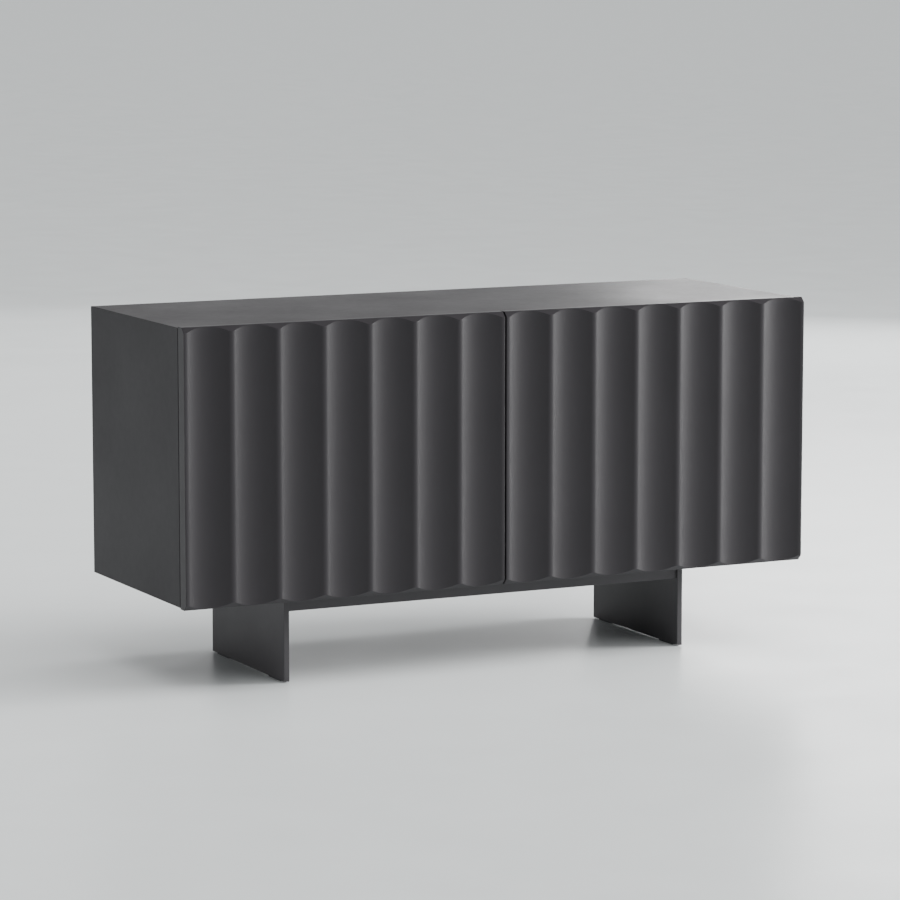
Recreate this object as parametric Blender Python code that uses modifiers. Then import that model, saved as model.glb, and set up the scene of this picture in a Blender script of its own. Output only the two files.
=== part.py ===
"""Low two-door sideboard: a mitred case on a steel plate base, with fluted overlay doors.

Metres, +Z up. X runs along the width and -Y is the front. The origin lies on the floor,
under the middle of the whole piece. Pieces that touch keep the small gap TOUCH.
"""

from math import atan, cos, pi, radians, sin, sqrt

import bmesh
import bpy
from mathutils import Matrix, Vector

# ---- Driving dimensions -----------------------------------------------------------------

OVERALL_WIDTH = 1.200
OVERALL_DEPTH = 0.430
CASE_HEIGHT = 0.474
BASE_HEIGHT = 0.154          # floor to the underside of the case

TOUCH = 0.0003               # gap between pieces that touch
RUNNING_GAP = 0.0004         # gap round a piece that slides

PANEL_THICKNESS = 0.018      # top, bottom, sides and divider
BACK_THICKNESS = 0.006
BACK_INSET = 0.012           # rear edge of the case to the rear of the back panel
BACK_GROOVE = 0.007          # depth of the groove that holds the back panel
DIVIDER_SETBACK = 0.002      # case front to the divider's front edge

SHELF_THICKNESS = 0.018
SHELF_SETBACK = 0.030        # case front to the shelf's front edge
SHELF_END_GAP = 0.002        # shelf end to the panel beside it
SHELF_REAR_GAP = 0.002
PIN_RADIUS = 0.0025          # shelf pins
PIN_REACH = 0.009            # how far a pin stands out of its panel
PIN_COLLAR_RADIUS = 0.004
PIN_COLLAR = 0.0012
PIN_SETBACK = 0.055          # shelf edge to the pin's centre
PIN_ROW_STEP = 0.032         # spacing of the holes that a shelf can be moved to
SOCKET_WEB = 0.0007          # half of the wood left between two holes back to back

DOOR_THICKNESS = 0.025
DOOR_GAP = 0.0025            # case front to the back of a closed door
DOOR_SPLIT = 0.003           # between the two doors
DOOR_RISE = 0.002            # door above the case top
DOOR_DROP = 0.002            # door below the case bottom
FLUTES_PER_DOOR = 7
FLUTE_DEPTH = 0.0085
CREST_HALF_WIDTH = 0.006     # rounded crest, from its middle to where the hollow starts
DOOR_BEVEL = 0.009           # 45 degree cut along the top and bottom front edges
DOOR_ARRIS = 0.0012          # rounding of the upright edges
DOOR_SWING = radians(90)

HINGE_INSET = 0.085          # door's top or bottom edge to the middle of a hinge
CUP_RADIUS = 0.0175
CUP_EDGE = 0.003             # door edge to the cup's bore
CUP_DEPTH = 0.0125
CUP_WALL = 0.0008
CUP_FLANGE = 0.001
CUP_FLANGE_SIZE = (0.033, 0.056)
AXIS_EDGE = 0.0067           # door edge to the hinge axis
AXIS_DEPTH = 0.0092          # back of the door to the hinge axis
HINGE_PIN_RADIUS = 0.001
KNUCKLE_RADIUS = 0.0022
KNUCKLE_HALF = 0.003
EAR_THICKNESS = 0.0018
NECK_THICKNESS = 0.0018
NECK_ANGLE = radians(4)      # neck against the closed door
NECK_BEND = 0.003
ARM_THICKNESS = 0.006
ARM_HALF_HEIGHT = 0.007
ARM_LENGTH = 0.052
ARM_SETBACK = 0.010          # case front to the arm's front end
MOUNT_THICKNESS = 0.003
MOUNT_SIZE = (0.036, 0.044)
MOUNT_SETBACK = 0.019        # case front to the mounting plate

LATCH_SIZE = (0.014, 0.060, 0.013)
LATCH_SETBACK = 0.002
LATCH_SIDE = 0.030           # divider face to the latch's middle
PLUNGER_RADIUS = 0.003
PLUNGER_TIP_RADIUS = 0.0045
PLUNGER_TIP = 0.0010
PLUNGER_LENGTH = 0.045
PLUNGER_TRAVEL = 0.020
STRIKE_RADIUS = 0.008
STRIKE_THICKNESS = 0.0008

LEG_THICKNESS = 0.010
LEG_INSET = 0.208            # case side to the leg's outer face
LEG_SETBACK = 0.040          # case front to the legs' front edges
LEG_REAR_SETBACK = 0.0425    # case rear to the legs' rear edges
LEG_EASING = 0.0006
GLIDE_SIZE = (0.008, 0.050, 0.0015)
GLIDE_END = 0.020            # leg edge to the glide
RAIL_HEIGHT = 0.030
RAIL_THICKNESS = 0.008
RAIL_SETBACK = 0.005         # leg's edge to the rail's outer face
FLANGE_WIDTH = 0.050
FLANGE_THICKNESS = 0.004
FLANGE_END_GAP = 0.027       # rail's inner face to the flange's end
BOLT_RADIUS = 0.003
BOLT_HEAD_RADIUS = 0.0058
BOLT_HEAD = 0.004
BOLT_END = 0.030             # flange's end to the bolt
INSERT_RADIUS = 0.005
INSERT_LENGTH = 0.012

ROUND = 24                   # sides of a turned piece
SMALL_ROUND = 16

# ---- Places worked out from the dimensions ----------------------------------------------

SIDE_X = OVERALL_WIDTH / 2
FRONT_Y = -OVERALL_DEPTH / 2
REAR_Y = OVERALL_DEPTH / 2
CASE_FRONT = FRONT_Y + DOOR_THICKNESS + DOOR_GAP
CASE_DEPTH = REAR_Y - CASE_FRONT
CASE_BOTTOM = BASE_HEIGHT
CASE_TOP = CASE_BOTTOM + CASE_HEIGHT
INNER_BOTTOM = CASE_BOTTOM + PANEL_THICKNESS
INNER_TOP = CASE_TOP - PANEL_THICKNESS
INNER_X = SIDE_X - PANEL_THICKNESS
BACK_FRONT = REAR_Y - BACK_INSET - BACK_THICKNESS
DIVIDER_X = PANEL_THICKNESS / 2

DOOR_BACK = CASE_FRONT - DOOR_GAP
DOOR_BOTTOM = CASE_BOTTOM - DOOR_DROP
DOOR_TOP = CASE_TOP + DOOR_RISE
DOOR_WIDTH = SIDE_X - DOOR_SPLIT / 2
AXIS_X = SIDE_X - AXIS_EDGE
AXIS_Y = DOOR_BACK - AXIS_DEPTH
CUP_X = SIDE_X - CUP_EDGE - CUP_RADIUS
HINGE_HEIGHTS = {"lower": DOOR_BOTTOM + HINGE_INSET, "upper": DOOR_TOP - HINGE_INSET}

SHELF_Z = (INNER_BOTTOM + INNER_TOP) / 2
PIN_Z = SHELF_Z - SHELF_THICKNESS / 2 - TOUCH - PIN_RADIUS
SHELF_FRONT = CASE_FRONT + SHELF_SETBACK
SHELF_REAR = BACK_FRONT - SHELF_REAR_GAP
PIN_SOCKET = PANEL_THICKNESS / 2 - SOCKET_WEB
PIN_PLACES = {"front": SHELF_FRONT + PIN_SETBACK, "rear": SHELF_REAR - PIN_SETBACK}

LEG_X = SIDE_X - LEG_INSET
LEG_FRONT = CASE_FRONT + LEG_SETBACK
LEG_REAR = REAR_Y - LEG_REAR_SETBACK
LEG_BOTTOM = GLIDE_SIZE[2] + TOUCH
LEG_TOP = CASE_BOTTOM - TOUCH
RAIL_ROOM = RAIL_SETBACK + RAIL_THICKNESS
FLANGE_X = LEG_X - LEG_THICKNESS - TOUCH - FLANGE_WIDTH / 2
FLANGE_BOTTOM = LEG_TOP - FLANGE_THICKNESS
FLANGE_FRONT = LEG_FRONT + RAIL_ROOM + FLANGE_END_GAP
FLANGE_REAR = LEG_REAR - RAIL_ROOM - FLANGE_END_GAP
BOLT_PLACES = {"front": FLANGE_FRONT + BOLT_END, "rear": FLANGE_REAR - BOLT_END}

STRIKE_BACK = DOOR_BACK + TOUCH + STRIKE_THICKNESS
PLUNGER_FRONT = STRIKE_BACK + TOUCH
LATCH_FRONT = CASE_FRONT + LATCH_SETBACK
LATCH_X = DIVIDER_X + LATCH_SIDE
LATCH_Z = INNER_TOP - TOUCH - LATCH_SIZE[2] / 2

SIDES = {"left": -1, "right": 1}

# ---- Tools for building -----------------------------------------------------------------


def clear_scene():
    for item in list(bpy.data.objects):
        bpy.data.objects.remove(item, do_unlink=True)


def new_collection(name):
    group = bpy.data.collections.new(name)
    bpy.context.scene.collection.children.link(group)
    return group


def finish_material(name, colour, roughness, metallic=0.0):
    finish = bpy.data.materials.new(name)
    finish.use_nodes = True
    shader = finish.node_tree.nodes["Principled BSDF"]
    shader.inputs["Base Color"].default_value = (*colour, 1.0)
    shader.inputs["Roughness"].default_value = roughness
    shader.inputs["Metallic"].default_value = metallic
    finish.diffuse_color = (*colour, 1.0)
    return finish


def add_piece(name, mesh, place=(0, 0, 0), parent=None):
    """One named sub-part, placed in world coordinates even under a parent."""
    piece = bpy.data.objects.new(name, mesh)
    sideboard.objects.link(piece)
    if parent is not None:
        piece.parent = parent
        piece.location = Vector(place) - parent.location
    else:
        piece.location = place
    return piece


def finish(piece, look):
    """Gives a piece a material of its own, a copy of the named finish."""
    own = look.copy()
    own.name = piece.name
    piece.data.materials.append(own)
    return piece


def box_mesh(name, size):
    mesh = bpy.data.meshes.new(name)
    shape = bmesh.new()
    bmesh.ops.create_cube(shape, size=1.0)
    bmesh.ops.scale(shape, vec=size, verts=shape.verts)
    shape.to_mesh(mesh)
    shape.free()
    return mesh


def box_between(name, low, high, parent=None):
    """A box piece from its lowest corner to its highest corner."""
    size = [b - a for a, b in zip(low, high)]
    middle = [(a + b) / 2 for a, b in zip(low, high)]
    return add_piece(name, box_mesh(name, size), middle, parent)


def cylinder_mesh(name, radius, length, sides, turn=None):
    """A cylinder along Z, or turned by a rotation matrix."""
    mesh = bpy.data.meshes.new(name)
    shape = bmesh.new()
    bmesh.ops.create_cone(
        shape, cap_ends=True, cap_tris=False, segments=sides,
        radius1=radius, radius2=radius, depth=length,
    )
    if turn is not None:
        bmesh.ops.transform(shape, matrix=turn, verts=shape.verts)
    shape.to_mesh(mesh)
    shape.free()
    mesh.shade_smooth()
    mesh.set_sharp_from_angle(angle=radians(40))
    return mesh


def turned_piece(name, profile, sides, place, turn, parent=None):
    """A turned shape: a profile of (radius, height) points, top to bottom down its outside."""
    mesh = bpy.data.meshes.new(name)
    corners = [(radius, 0.0, height) for radius, height in profile]
    edges = [(i, i + 1) for i in range(len(corners) - 1)]
    mesh.from_pydata(corners, edges, [])
    lathe = bpy.data.objects.new(name + "_profile", mesh)
    sideboard.objects.link(lathe)
    spin = lathe.modifiers.new("turn", "SCREW")
    spin.angle = 2 * pi
    spin.steps = sides
    spin.render_steps = sides
    spin.use_merge_vertices = True
    spin.merge_threshold = 0.00001
    spin.use_smooth_shade = True
    solid = as_mesh(lathe, name)
    solid.transform(turn)
    solid.set_sharp_from_angle(angle=radians(40))
    return add_piece(name, solid, place, parent)


def as_mesh(source, name):
    """Turns a curve or a modified object into a welded mesh, and removes the object."""
    bpy.context.view_layer.update()
    view = bpy.context.evaluated_depsgraph_get()
    mesh = bpy.data.meshes.new_from_object(source.evaluated_get(view))
    mesh.name = name
    mesh.transform(source.matrix_world)
    shape = bmesh.new()
    shape.from_mesh(mesh)
    bmesh.ops.remove_doubles(shape, verts=shape.verts, dist=0.00001)
    bmesh.ops.recalc_face_normals(shape, faces=shape.faces)
    shape.to_mesh(mesh)
    shape.free()
    mesh.materials.clear()
    bpy.data.objects.remove(source, do_unlink=True)
    return mesh


def outline_mesh(name, outline, thickness, turn=None):
    """A flat outline in XY, thickened evenly along Z, then turned by a rotation matrix."""
    drawing = bpy.data.curves.new(name, "CURVE")
    drawing.dimensions = "2D"
    drawing.fill_mode = "BOTH"
    drawing.extrude = thickness / 2
    line = drawing.splines.new("POLY")
    line.points.add(len(outline) - 1)
    for point, (x, y) in zip(line.points, outline):
        point.co = (x, y, 0.0, 1.0)
    line.use_cyclic_u = True
    sketch = bpy.data.objects.new(name + "_outline", drawing)
    sideboard.objects.link(sketch)
    if turn is not None:
        sketch.matrix_world = turn
    return as_mesh(sketch, name)


def cutter_from(mesh, name, place, parent=None):
    """A hidden helper for Boolean modifiers."""
    tool = bpy.data.objects.new(name, mesh)
    cutters.objects.link(tool)
    if parent is not None:
        tool.parent = parent
        tool.location = Vector(place) - parent.location
    else:
        tool.location = place
    tool.hide_render = True
    tool.display_type = "WIRE"
    return tool


def combine(piece, tool, operation):
    step = piece.modifiers.new(operation.lower(), "BOOLEAN")
    step.operation = operation
    step.solver = "EXACT"
    step.object = tool


def soften(piece, width, segments=1):
    step = piece.modifiers.new("soften", "BEVEL")
    step.width = width
    step.segments = segments
    step.limit_method = "ANGLE"
    step.angle_limit = radians(40)


# ---- Case -------------------------------------------------------------------------------

STAND_UP = Matrix.Rotation(pi / 2, 4, "X")
MITRE_SHIFT = TOUCH / sqrt(2)


def mitred_board(name, length, flip):
    """A board with both ends cut at 45 degrees. Its outer face is the long one, at +Y."""
    half = length / 2 - MITRE_SHIFT
    long_y = 0.0
    short_y = -PANEL_THICKNESS
    outline = [
        (-half, long_y), (half, long_y),
        (half - PANEL_THICKNESS, short_y), (-half + PANEL_THICKNESS, short_y),
    ]
    return outline_mesh(name, outline, CASE_DEPTH, STAND_UP @ Matrix.Rotation(flip, 4, "Z"))


def make_case():
    middle_y = (CASE_FRONT + REAR_Y) / 2
    middle_z = (CASE_BOTTOM + CASE_TOP) / 2
    boards = {
        "top_panel": (OVERALL_WIDTH, 0, (0, middle_y, CASE_TOP)),
        "bottom_panel": (OVERALL_WIDTH, pi, (0, middle_y, CASE_BOTTOM)),
        "left_side_panel": (CASE_HEIGHT, pi / 2, (-SIDE_X, middle_y, middle_z)),
        "right_side_panel": (CASE_HEIGHT, -pi / 2, (SIDE_X, middle_y, middle_z)),
    }
    groove_size = (
        2 * (INNER_X + BACK_GROOVE),
        BACK_THICKNESS + 2 * TOUCH,
        INNER_TOP - INNER_BOTTOM + 2 * BACK_GROOVE,
    )
    back_y = BACK_FRONT + BACK_THICKNESS / 2
    groove = cutter_from(box_mesh("back_groove", groove_size), "back_groove", (0, back_y, middle_z))
    case = {}
    for name, (length, flip, place) in boards.items():
        board = add_piece(name, mitred_board(name, length, flip), place)
        combine(board, groove, "DIFFERENCE")
        case[name] = finish(board, lacquer)

    reach = BACK_GROOVE - TOUCH
    back = box_between(
        "back_panel",
        (-INNER_X - reach, BACK_FRONT, INNER_BOTTOM - reach),
        (INNER_X + reach, BACK_FRONT + BACK_THICKNESS, INNER_TOP + reach),
    )
    finish(back, lacquer)
    divider = box_between(
        "centre_divider",
        (-DIVIDER_X, CASE_FRONT + DIVIDER_SETBACK, INNER_BOTTOM + TOUCH),
        (DIVIDER_X, BACK_FRONT - TOUCH, INNER_TOP - TOUCH),
    )
    case["centre_divider"] = finish(divider, lacquer)
    return case


# ---- Shelves ----------------------------------------------------------------------------

ALONG_X = Matrix.Rotation(pi / 2, 4, "Y")


def make_shelves(case):
    hole_mesh = cylinder_mesh(
        "pin_hole", PIN_RADIUS + TOUCH, 2 * PIN_SOCKET, SMALL_ROUND, ALONG_X)
    pin_profile = [
        (0.0, PIN_REACH),
        (PIN_RADIUS, PIN_REACH),
        (PIN_RADIUS, TOUCH + PIN_COLLAR),
        (PIN_COLLAR_RADIUS, TOUCH + PIN_COLLAR),
        (PIN_COLLAR_RADIUS, TOUCH),
        (PIN_RADIUS, TOUCH),
        (PIN_RADIUS, TOUCH - PIN_SOCKET),
        (0.0, TOUCH - PIN_SOCKET),
    ]
    for side, sign in SIDES.items():
        outer = sign * (INNER_X - SHELF_END_GAP)
        inner = sign * (DIVIDER_X + SHELF_END_GAP)
        shelf = box_between(
            side + "_shelf",
            (min(outer, inner), SHELF_FRONT, SHELF_Z - SHELF_THICKNESS / 2),
            (max(outer, inner), SHELF_REAR, SHELF_Z + SHELF_THICKNESS / 2),
        )
        finish(shelf, lacquer)
        walls = {
            "outer": (case[side + "_side_panel"], sign * INNER_X, -sign),
            "inner": (case["centre_divider"], sign * DIVIDER_X, sign),
        }
        for wall, (board, face_x, facing) in walls.items():
            for end, y in PIN_PLACES.items():
                for row in (-1, 0, 1):
                    place = (face_x, y, PIN_Z + row * PIN_ROW_STEP)
                    name = f"{side}_{wall}_{end}_hole_{row + 2}"
                    combine(board, cutter_from(hole_mesh, name, place), "DIFFERENCE")
                pin = turned_piece(
                    f"{side}_shelf_pin_{wall}_{end}", pin_profile, SMALL_ROUND,
                    (face_x, y, PIN_Z), Matrix.Rotation(facing * pi / 2, 4, "Y"),
                )
                finish(pin, nickel)


# ---- Doors ------------------------------------------------------------------------------


def arc(centre, radius, start, end, steps):
    """Points along an arc; the angles are measured from +X."""
    for step in range(steps + 1):
        angle = start + (end - start) * step / steps
        yield centre[0] + radius * cos(angle), centre[1] + radius * sin(angle)


def flute_outline(width):
    """Front of a door in plan, from x = 0 to width, with the crests at y = 0.

    Each flute is a wide hollow arc that runs without a kink into the narrow rounded
    crests beside it. At the door's upright edges stands half a crest.
    """
    pitch = width / FLUTES_PER_DOOR
    slope = 2 * atan(2 * FLUTE_DEPTH / pitch)
    crest = CREST_HALF_WIDTH / sin(slope)
    hollow = (pitch / 2 - CREST_HALF_WIDTH) / sin(slope)
    up, down = pi / 2, -pi / 2
    points = list(arc((DOOR_ARRIS, DOOR_ARRIS), DOOR_ARRIS, pi, pi - down, 3))
    for flute in range(FLUTES_PER_DOOR):
        x = flute * pitch
        falling = arc((x, crest), crest, down, down + slope, 3)
        bottom = arc((x + pitch / 2, FLUTE_DEPTH - hollow), hollow, up + slope, up - slope, 10)
        rising = arc((x + pitch, crest), crest, down - slope, down, 3)
        for curve in (list(falling)[1:-1], bottom, list(rising)[1:]):
            points.extend(curve)
    points.pop()
    points.extend(arc((width - DOOR_ARRIS, DOOR_ARRIS), DOOR_ARRIS, down, 0, 3))
    return points


def make_door(side, sign, axis):
    """One door, flute side to the front, with its bevels and hinge bores cut."""
    height = DOOR_TOP - DOOR_BOTTOM
    middle_z = (DOOR_TOP + DOOR_BOTTOM) / 2
    left_x = -SIDE_X if sign < 0 else DOOR_SPLIT / 2
    outline = [(left_x - axis.location.x + x, FRONT_Y - AXIS_Y + y)
               for x, y in flute_outline(DOOR_WIDTH)]
    back_y = DOOR_BACK - AXIS_Y
    outline.append((left_x - axis.location.x + DOOR_WIDTH, back_y))
    outline.append((left_x - axis.location.x, back_y))
    mesh = outline_mesh(side + "_door", outline, height)
    door = add_piece(side + "_door", mesh, (axis.location.x, AXIS_Y, middle_z), axis)

    block = 4 * DOOR_BEVEL
    wedge = box_mesh("door_bevel", (DOOR_WIDTH + block, block, block))
    for edge, edge_z, way in (("top", DOOR_TOP, 1), ("bottom", DOOR_BOTTOM, -1)):
        reach = DOOR_BEVEL / 2 - block / 2 / sqrt(2)
        place = (left_x + DOOR_WIDTH / 2, FRONT_Y + reach, edge_z - way * reach)
        tool = cutter_from(wedge, f"{side}_{edge}_bevel", place, axis)
        tool.rotation_euler.x = pi / 4
        combine(door, tool, "DIFFERENCE")

    depth = CUP_DEPTH + TOUCH
    bore = cylinder_mesh("cup_bore", CUP_RADIUS + TOUCH, 2 * depth, ROUND, STAND_UP)
    for level, z in HINGE_HEIGHTS.items():
        tool = cutter_from(bore, f"{side}_{level}_bore", (sign * CUP_X, DOOR_BACK, z), axis)
        combine(door, tool, "DIFFERENCE")
    return finish(door, lacquer)


# ---- Hinges -----------------------------------------------------------------------------


def make_cup(name, sign, z, axis):
    """The drawn steel cup, its flange on the back of the door, and the ears for the pin."""
    inner = CUP_RADIUS - CUP_WALL
    rim = TOUCH + CUP_FLANGE
    profile = [
        (0.0, CUP_WALL - CUP_DEPTH), (inner, CUP_WALL - CUP_DEPTH), (inner, rim),
        (CUP_RADIUS, rim), (CUP_RADIUS, -CUP_DEPTH), (0.0, -CUP_DEPTH),
    ]
    facing = Matrix.Rotation(-pi / 2, 4, "X")
    cup = turned_piece(name, profile, ROUND, (sign * CUP_X, DOOR_BACK, z), facing, axis)

    width, tall = CUP_FLANGE_SIZE
    plate = box_mesh(name + "_flange", (width, CUP_FLANGE, tall))
    place = (sign * CUP_X, DOOR_BACK + TOUCH + CUP_FLANGE / 2, z)
    flange = cutter_from(plate, name + "_flange", place, axis)
    mouth = cylinder_mesh(name + "_mouth", inner, 4 * rim, ROUND, STAND_UP)
    opening = cutter_from(mouth, name + "_mouth", (sign * CUP_X, DOOR_BACK, z), axis)
    combine(flange, opening, "DIFFERENCE")
    combine(cup, flange, "UNION")

    ear_low = DOOR_BACK - CUP_DEPTH + CUP_WALL / 2
    ear_high = AXIS_Y + KNUCKLE_RADIUS
    ear = box_mesh(name + "_ear", (2 * KNUCKLE_RADIUS, ear_high - ear_low, EAR_THICKNESS))
    for end in (-1, 1):
        offset = end * (KNUCKLE_HALF + TOUCH + EAR_THICKNESS / 2)
        place = (sign * AXIS_X, (ear_low + ear_high) / 2, z + offset)
        combine(cup, cutter_from(ear, f"{name}_ear_{end + 2}", place, axis), "UNION")
    hole = cylinder_mesh(
        name + "_pin_hole", HINGE_PIN_RADIUS + TOUCH, pin_half_length() * 2 + TOUCH, SMALL_ROUND)
    place = (sign * AXIS_X, AXIS_Y, z)
    combine(cup, cutter_from(hole, name + "_pin_hole", place, axis), "DIFFERENCE")
    return finish(cup, nickel)


def pin_half_length():
    return KNUCKLE_HALF + TOUCH + EAR_THICKNESS


def band(path, half):
    """The outline of a strip of even width along a path of points."""
    left, right = [], []
    for index, (x, y) in enumerate(path):
        before = Vector(path[max(index - 1, 0)])
        after = Vector(path[min(index + 1, len(path) - 1)])
        run = (after - before).normalized()
        left.append((x - run.y * half, y + run.x * half))
        right.append((x + run.y * half, y - run.x * half))
    return left + right[::-1]


def make_arm(name, sign, z):
    """The fixed arm: a knuckle round the pin, a bent neck, and the body on its plate."""
    body_x = INNER_X - 2 * TOUCH - MOUNT_THICKNESS - ARM_THICKNESS / 2
    inward = AXIS_X - body_x
    body_front = CASE_FRONT + ARM_SETBACK
    neck_end = body_front + NECK_THICKNESS
    elbow = (inward, inward * sin(NECK_ANGLE) / cos(NECK_ANGLE))
    centre = (inward - NECK_BEND, elbow[1] + NECK_BEND)
    path = [(KNUCKLE_RADIUS * 0.8, 0.0)]
    path.extend(arc(centre, NECK_BEND, NECK_ANGLE - pi / 2, 0, 5))
    path.append((inward, neck_end - AXIS_Y))
    outline = [(-sign * x, y) for x, y in band(path, NECK_THICKNESS / 2)]
    neck = outline_mesh(name, outline, 2 * KNUCKLE_HALF)
    arm = add_piece(name, neck, (sign * AXIS_X, AXIS_Y, z))

    knuckle = cylinder_mesh(name + "_knuckle", KNUCKLE_RADIUS, 2 * KNUCKLE_HALF, SMALL_ROUND)
    combine(arm, cutter_from(knuckle, name + "_knuckle", (sign * AXIS_X, AXIS_Y, z)), "UNION")
    body = box_mesh(name + "_body", (ARM_THICKNESS, ARM_LENGTH, 2 * ARM_HALF_HEIGHT))
    place = (sign * body_x, body_front + ARM_LENGTH / 2, z)
    combine(arm, cutter_from(body, name + "_body", place), "UNION")
    hole = cylinder_mesh(
        name + "_hole", HINGE_PIN_RADIUS + TOUCH, 4 * KNUCKLE_HALF, SMALL_ROUND)
    combine(arm, cutter_from(hole, name + "_hole", (sign * AXIS_X, AXIS_Y, z)), "DIFFERENCE")
    return finish(arm, nickel)


def make_hinges(side, sign, axis):
    pin_mesh_length = 2 * pin_half_length()
    for level, z in HINGE_HEIGHTS.items():
        name = f"{side}_{level}_hinge"
        make_cup(name + "_cup", sign, z, axis)
        pin = cylinder_mesh(name + "_pin", HINGE_PIN_RADIUS, pin_mesh_length, SMALL_ROUND)
        finish(add_piece(name + "_pin", pin, (sign * AXIS_X, AXIS_Y, z), axis), nickel)
        make_arm(name + "_arm", sign, z)
        length, tall = MOUNT_SIZE
        outer = sign * (INNER_X - TOUCH)
        inner = sign * (INNER_X - TOUCH - MOUNT_THICKNESS)
        front = CASE_FRONT + MOUNT_SETBACK
        plate = box_between(
            name + "_plate",
            (min(outer, inner), front, z - tall / 2),
            (max(outer, inner), front + length, z + tall / 2),
        )
        finish(plate, nickel)


# ---- Push latches -----------------------------------------------------------------------


def make_latch(side, sign, axis):
    """A push latch under the top, its spring plunger, and the strike on the door."""
    x = sign * LATCH_X
    wide, long, tall = LATCH_SIZE
    housing = box_between(
        side + "_latch_housing",
        (x - wide / 2, LATCH_FRONT, LATCH_Z - tall / 2),
        (x + wide / 2, LATCH_FRONT + long, LATCH_Z + tall / 2),
    )
    bore_depth = PLUNGER_FRONT + PLUNGER_LENGTH + RUNNING_GAP - LATCH_FRONT
    bore = cylinder_mesh(
        side + "_latch_bore", PLUNGER_RADIUS + RUNNING_GAP, 2 * bore_depth, SMALL_ROUND, STAND_UP)
    tool = cutter_from(bore, side + "_latch_bore", (x, LATCH_FRONT, LATCH_Z))
    combine(housing, tool, "DIFFERENCE")
    finish(housing, plastic)

    profile = [
        (0.0, 0.0), (PLUNGER_TIP_RADIUS, 0.0), (PLUNGER_TIP_RADIUS, -PLUNGER_TIP),
        (PLUNGER_RADIUS, -PLUNGER_TIP), (PLUNGER_RADIUS, -PLUNGER_LENGTH),
        (0.0, -PLUNGER_LENGTH),
    ]
    plunger = turned_piece(
        side + "_latch_plunger", profile, SMALL_ROUND, (x, PLUNGER_FRONT, LATCH_Z), STAND_UP)
    finish(plunger, plastic)

    strike = cylinder_mesh(
        side + "_latch_strike", STRIKE_RADIUS, STRIKE_THICKNESS, ROUND, STAND_UP)
    place = (x, DOOR_BACK + TOUCH + STRIKE_THICKNESS / 2, LATCH_Z)
    finish(add_piece(side + "_latch_strike", strike, place, axis), nickel)


# ---- Base -------------------------------------------------------------------------------


def make_base(case):
    for side, sign in SIDES.items():
        outer = sign * LEG_X
        inner = sign * (LEG_X - LEG_THICKNESS)
        leg = box_between(
            side + "_leg_plate",
            (min(outer, inner), LEG_FRONT, LEG_BOTTOM),
            (max(outer, inner), LEG_REAR, LEG_TOP),
        )
        soften(leg, LEG_EASING)
        finish(leg, steel)

        wide, long, thick = GLIDE_SIZE
        leg_x = sign * (LEG_X - LEG_THICKNESS / 2)
        starts = {"front": LEG_FRONT + GLIDE_END, "rear": LEG_REAR - GLIDE_END - long}
        for end, y in starts.items():
            glide = box_between(
                f"{side}_{end}_glide", (leg_x - wide / 2, y, 0.0), (leg_x + wide / 2, y + long, thick))
            finish(glide, plastic)

        flange = box_between(
            side + "_leg_flange",
            (sign * FLANGE_X - FLANGE_WIDTH / 2, FLANGE_FRONT, FLANGE_BOTTOM),
            (sign * FLANGE_X + FLANGE_WIDTH / 2, FLANGE_REAR, LEG_TOP),
        )
        finish(flange, steel)
        for end, y in BOLT_PLACES.items():
            make_bolt(f"{side}_{end}", sign * FLANGE_X, y, flange, case["bottom_panel"])

    inside = LEG_X - LEG_THICKNESS - TOUCH
    rails = {
        "front_rail": LEG_FRONT + RAIL_SETBACK,
        "rear_rail": LEG_REAR - RAIL_ROOM,
    }
    for name, y in rails.items():
        rail = box_between(
            name, (-inside, y, LEG_TOP - RAIL_HEIGHT), (inside, y + RAIL_THICKNESS, LEG_TOP))
        finish(rail, steel)


def make_bolt(name, x, y, flange, board):
    """A hexagon bolt up through the flange, into a threaded insert in the case bottom."""
    clearance = cylinder_mesh(
        name + "_flange_hole", BOLT_RADIUS + TOUCH, 4 * FLANGE_THICKNESS, SMALL_ROUND)
    combine(flange, cutter_from(clearance, name + "_flange_hole", (x, y, FLANGE_BOTTOM)), "DIFFERENCE")

    pocket_depth = INSERT_LENGTH + 2 * TOUCH
    pocket = cylinder_mesh(name + "_pocket", INSERT_RADIUS + TOUCH, 2 * pocket_depth, SMALL_ROUND)
    combine(board, cutter_from(pocket, name + "_pocket", (x, y, CASE_BOTTOM)), "DIFFERENCE")

    sleeve = [
        (BOLT_RADIUS + TOUCH, INSERT_LENGTH), (INSERT_RADIUS, INSERT_LENGTH),
        (INSERT_RADIUS, 0.0), (BOLT_RADIUS + TOUCH, 0.0), (BOLT_RADIUS + TOUCH, INSERT_LENGTH),
    ]
    upright = Matrix.Identity(4)
    insert = turned_piece(
        name + "_insert", sleeve, SMALL_ROUND, (x, y, CASE_BOTTOM + TOUCH), upright)
    finish(insert, nickel)

    seat = FLANGE_BOTTOM - TOUCH
    head = cylinder_mesh(name + "_bolt", BOLT_HEAD_RADIUS, BOLT_HEAD, 6)
    bolt = add_piece(name + "_bolt", head, (x, y, seat - BOLT_HEAD / 2))
    top = CASE_BOTTOM + INSERT_LENGTH
    bottom = seat - BOLT_HEAD / 2
    shank = cylinder_mesh(name + "_shank", BOLT_RADIUS, top - bottom, SMALL_ROUND)
    combine(bolt, cutter_from(shank, name + "_shank", (x, y, (top + bottom) / 2)), "UNION")
    finish(bolt, nickel)


# ---- Build ------------------------------------------------------------------------------

clear_scene()
sideboard = new_collection("sideboard_buffet")
cutters = new_collection("cutters")

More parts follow.
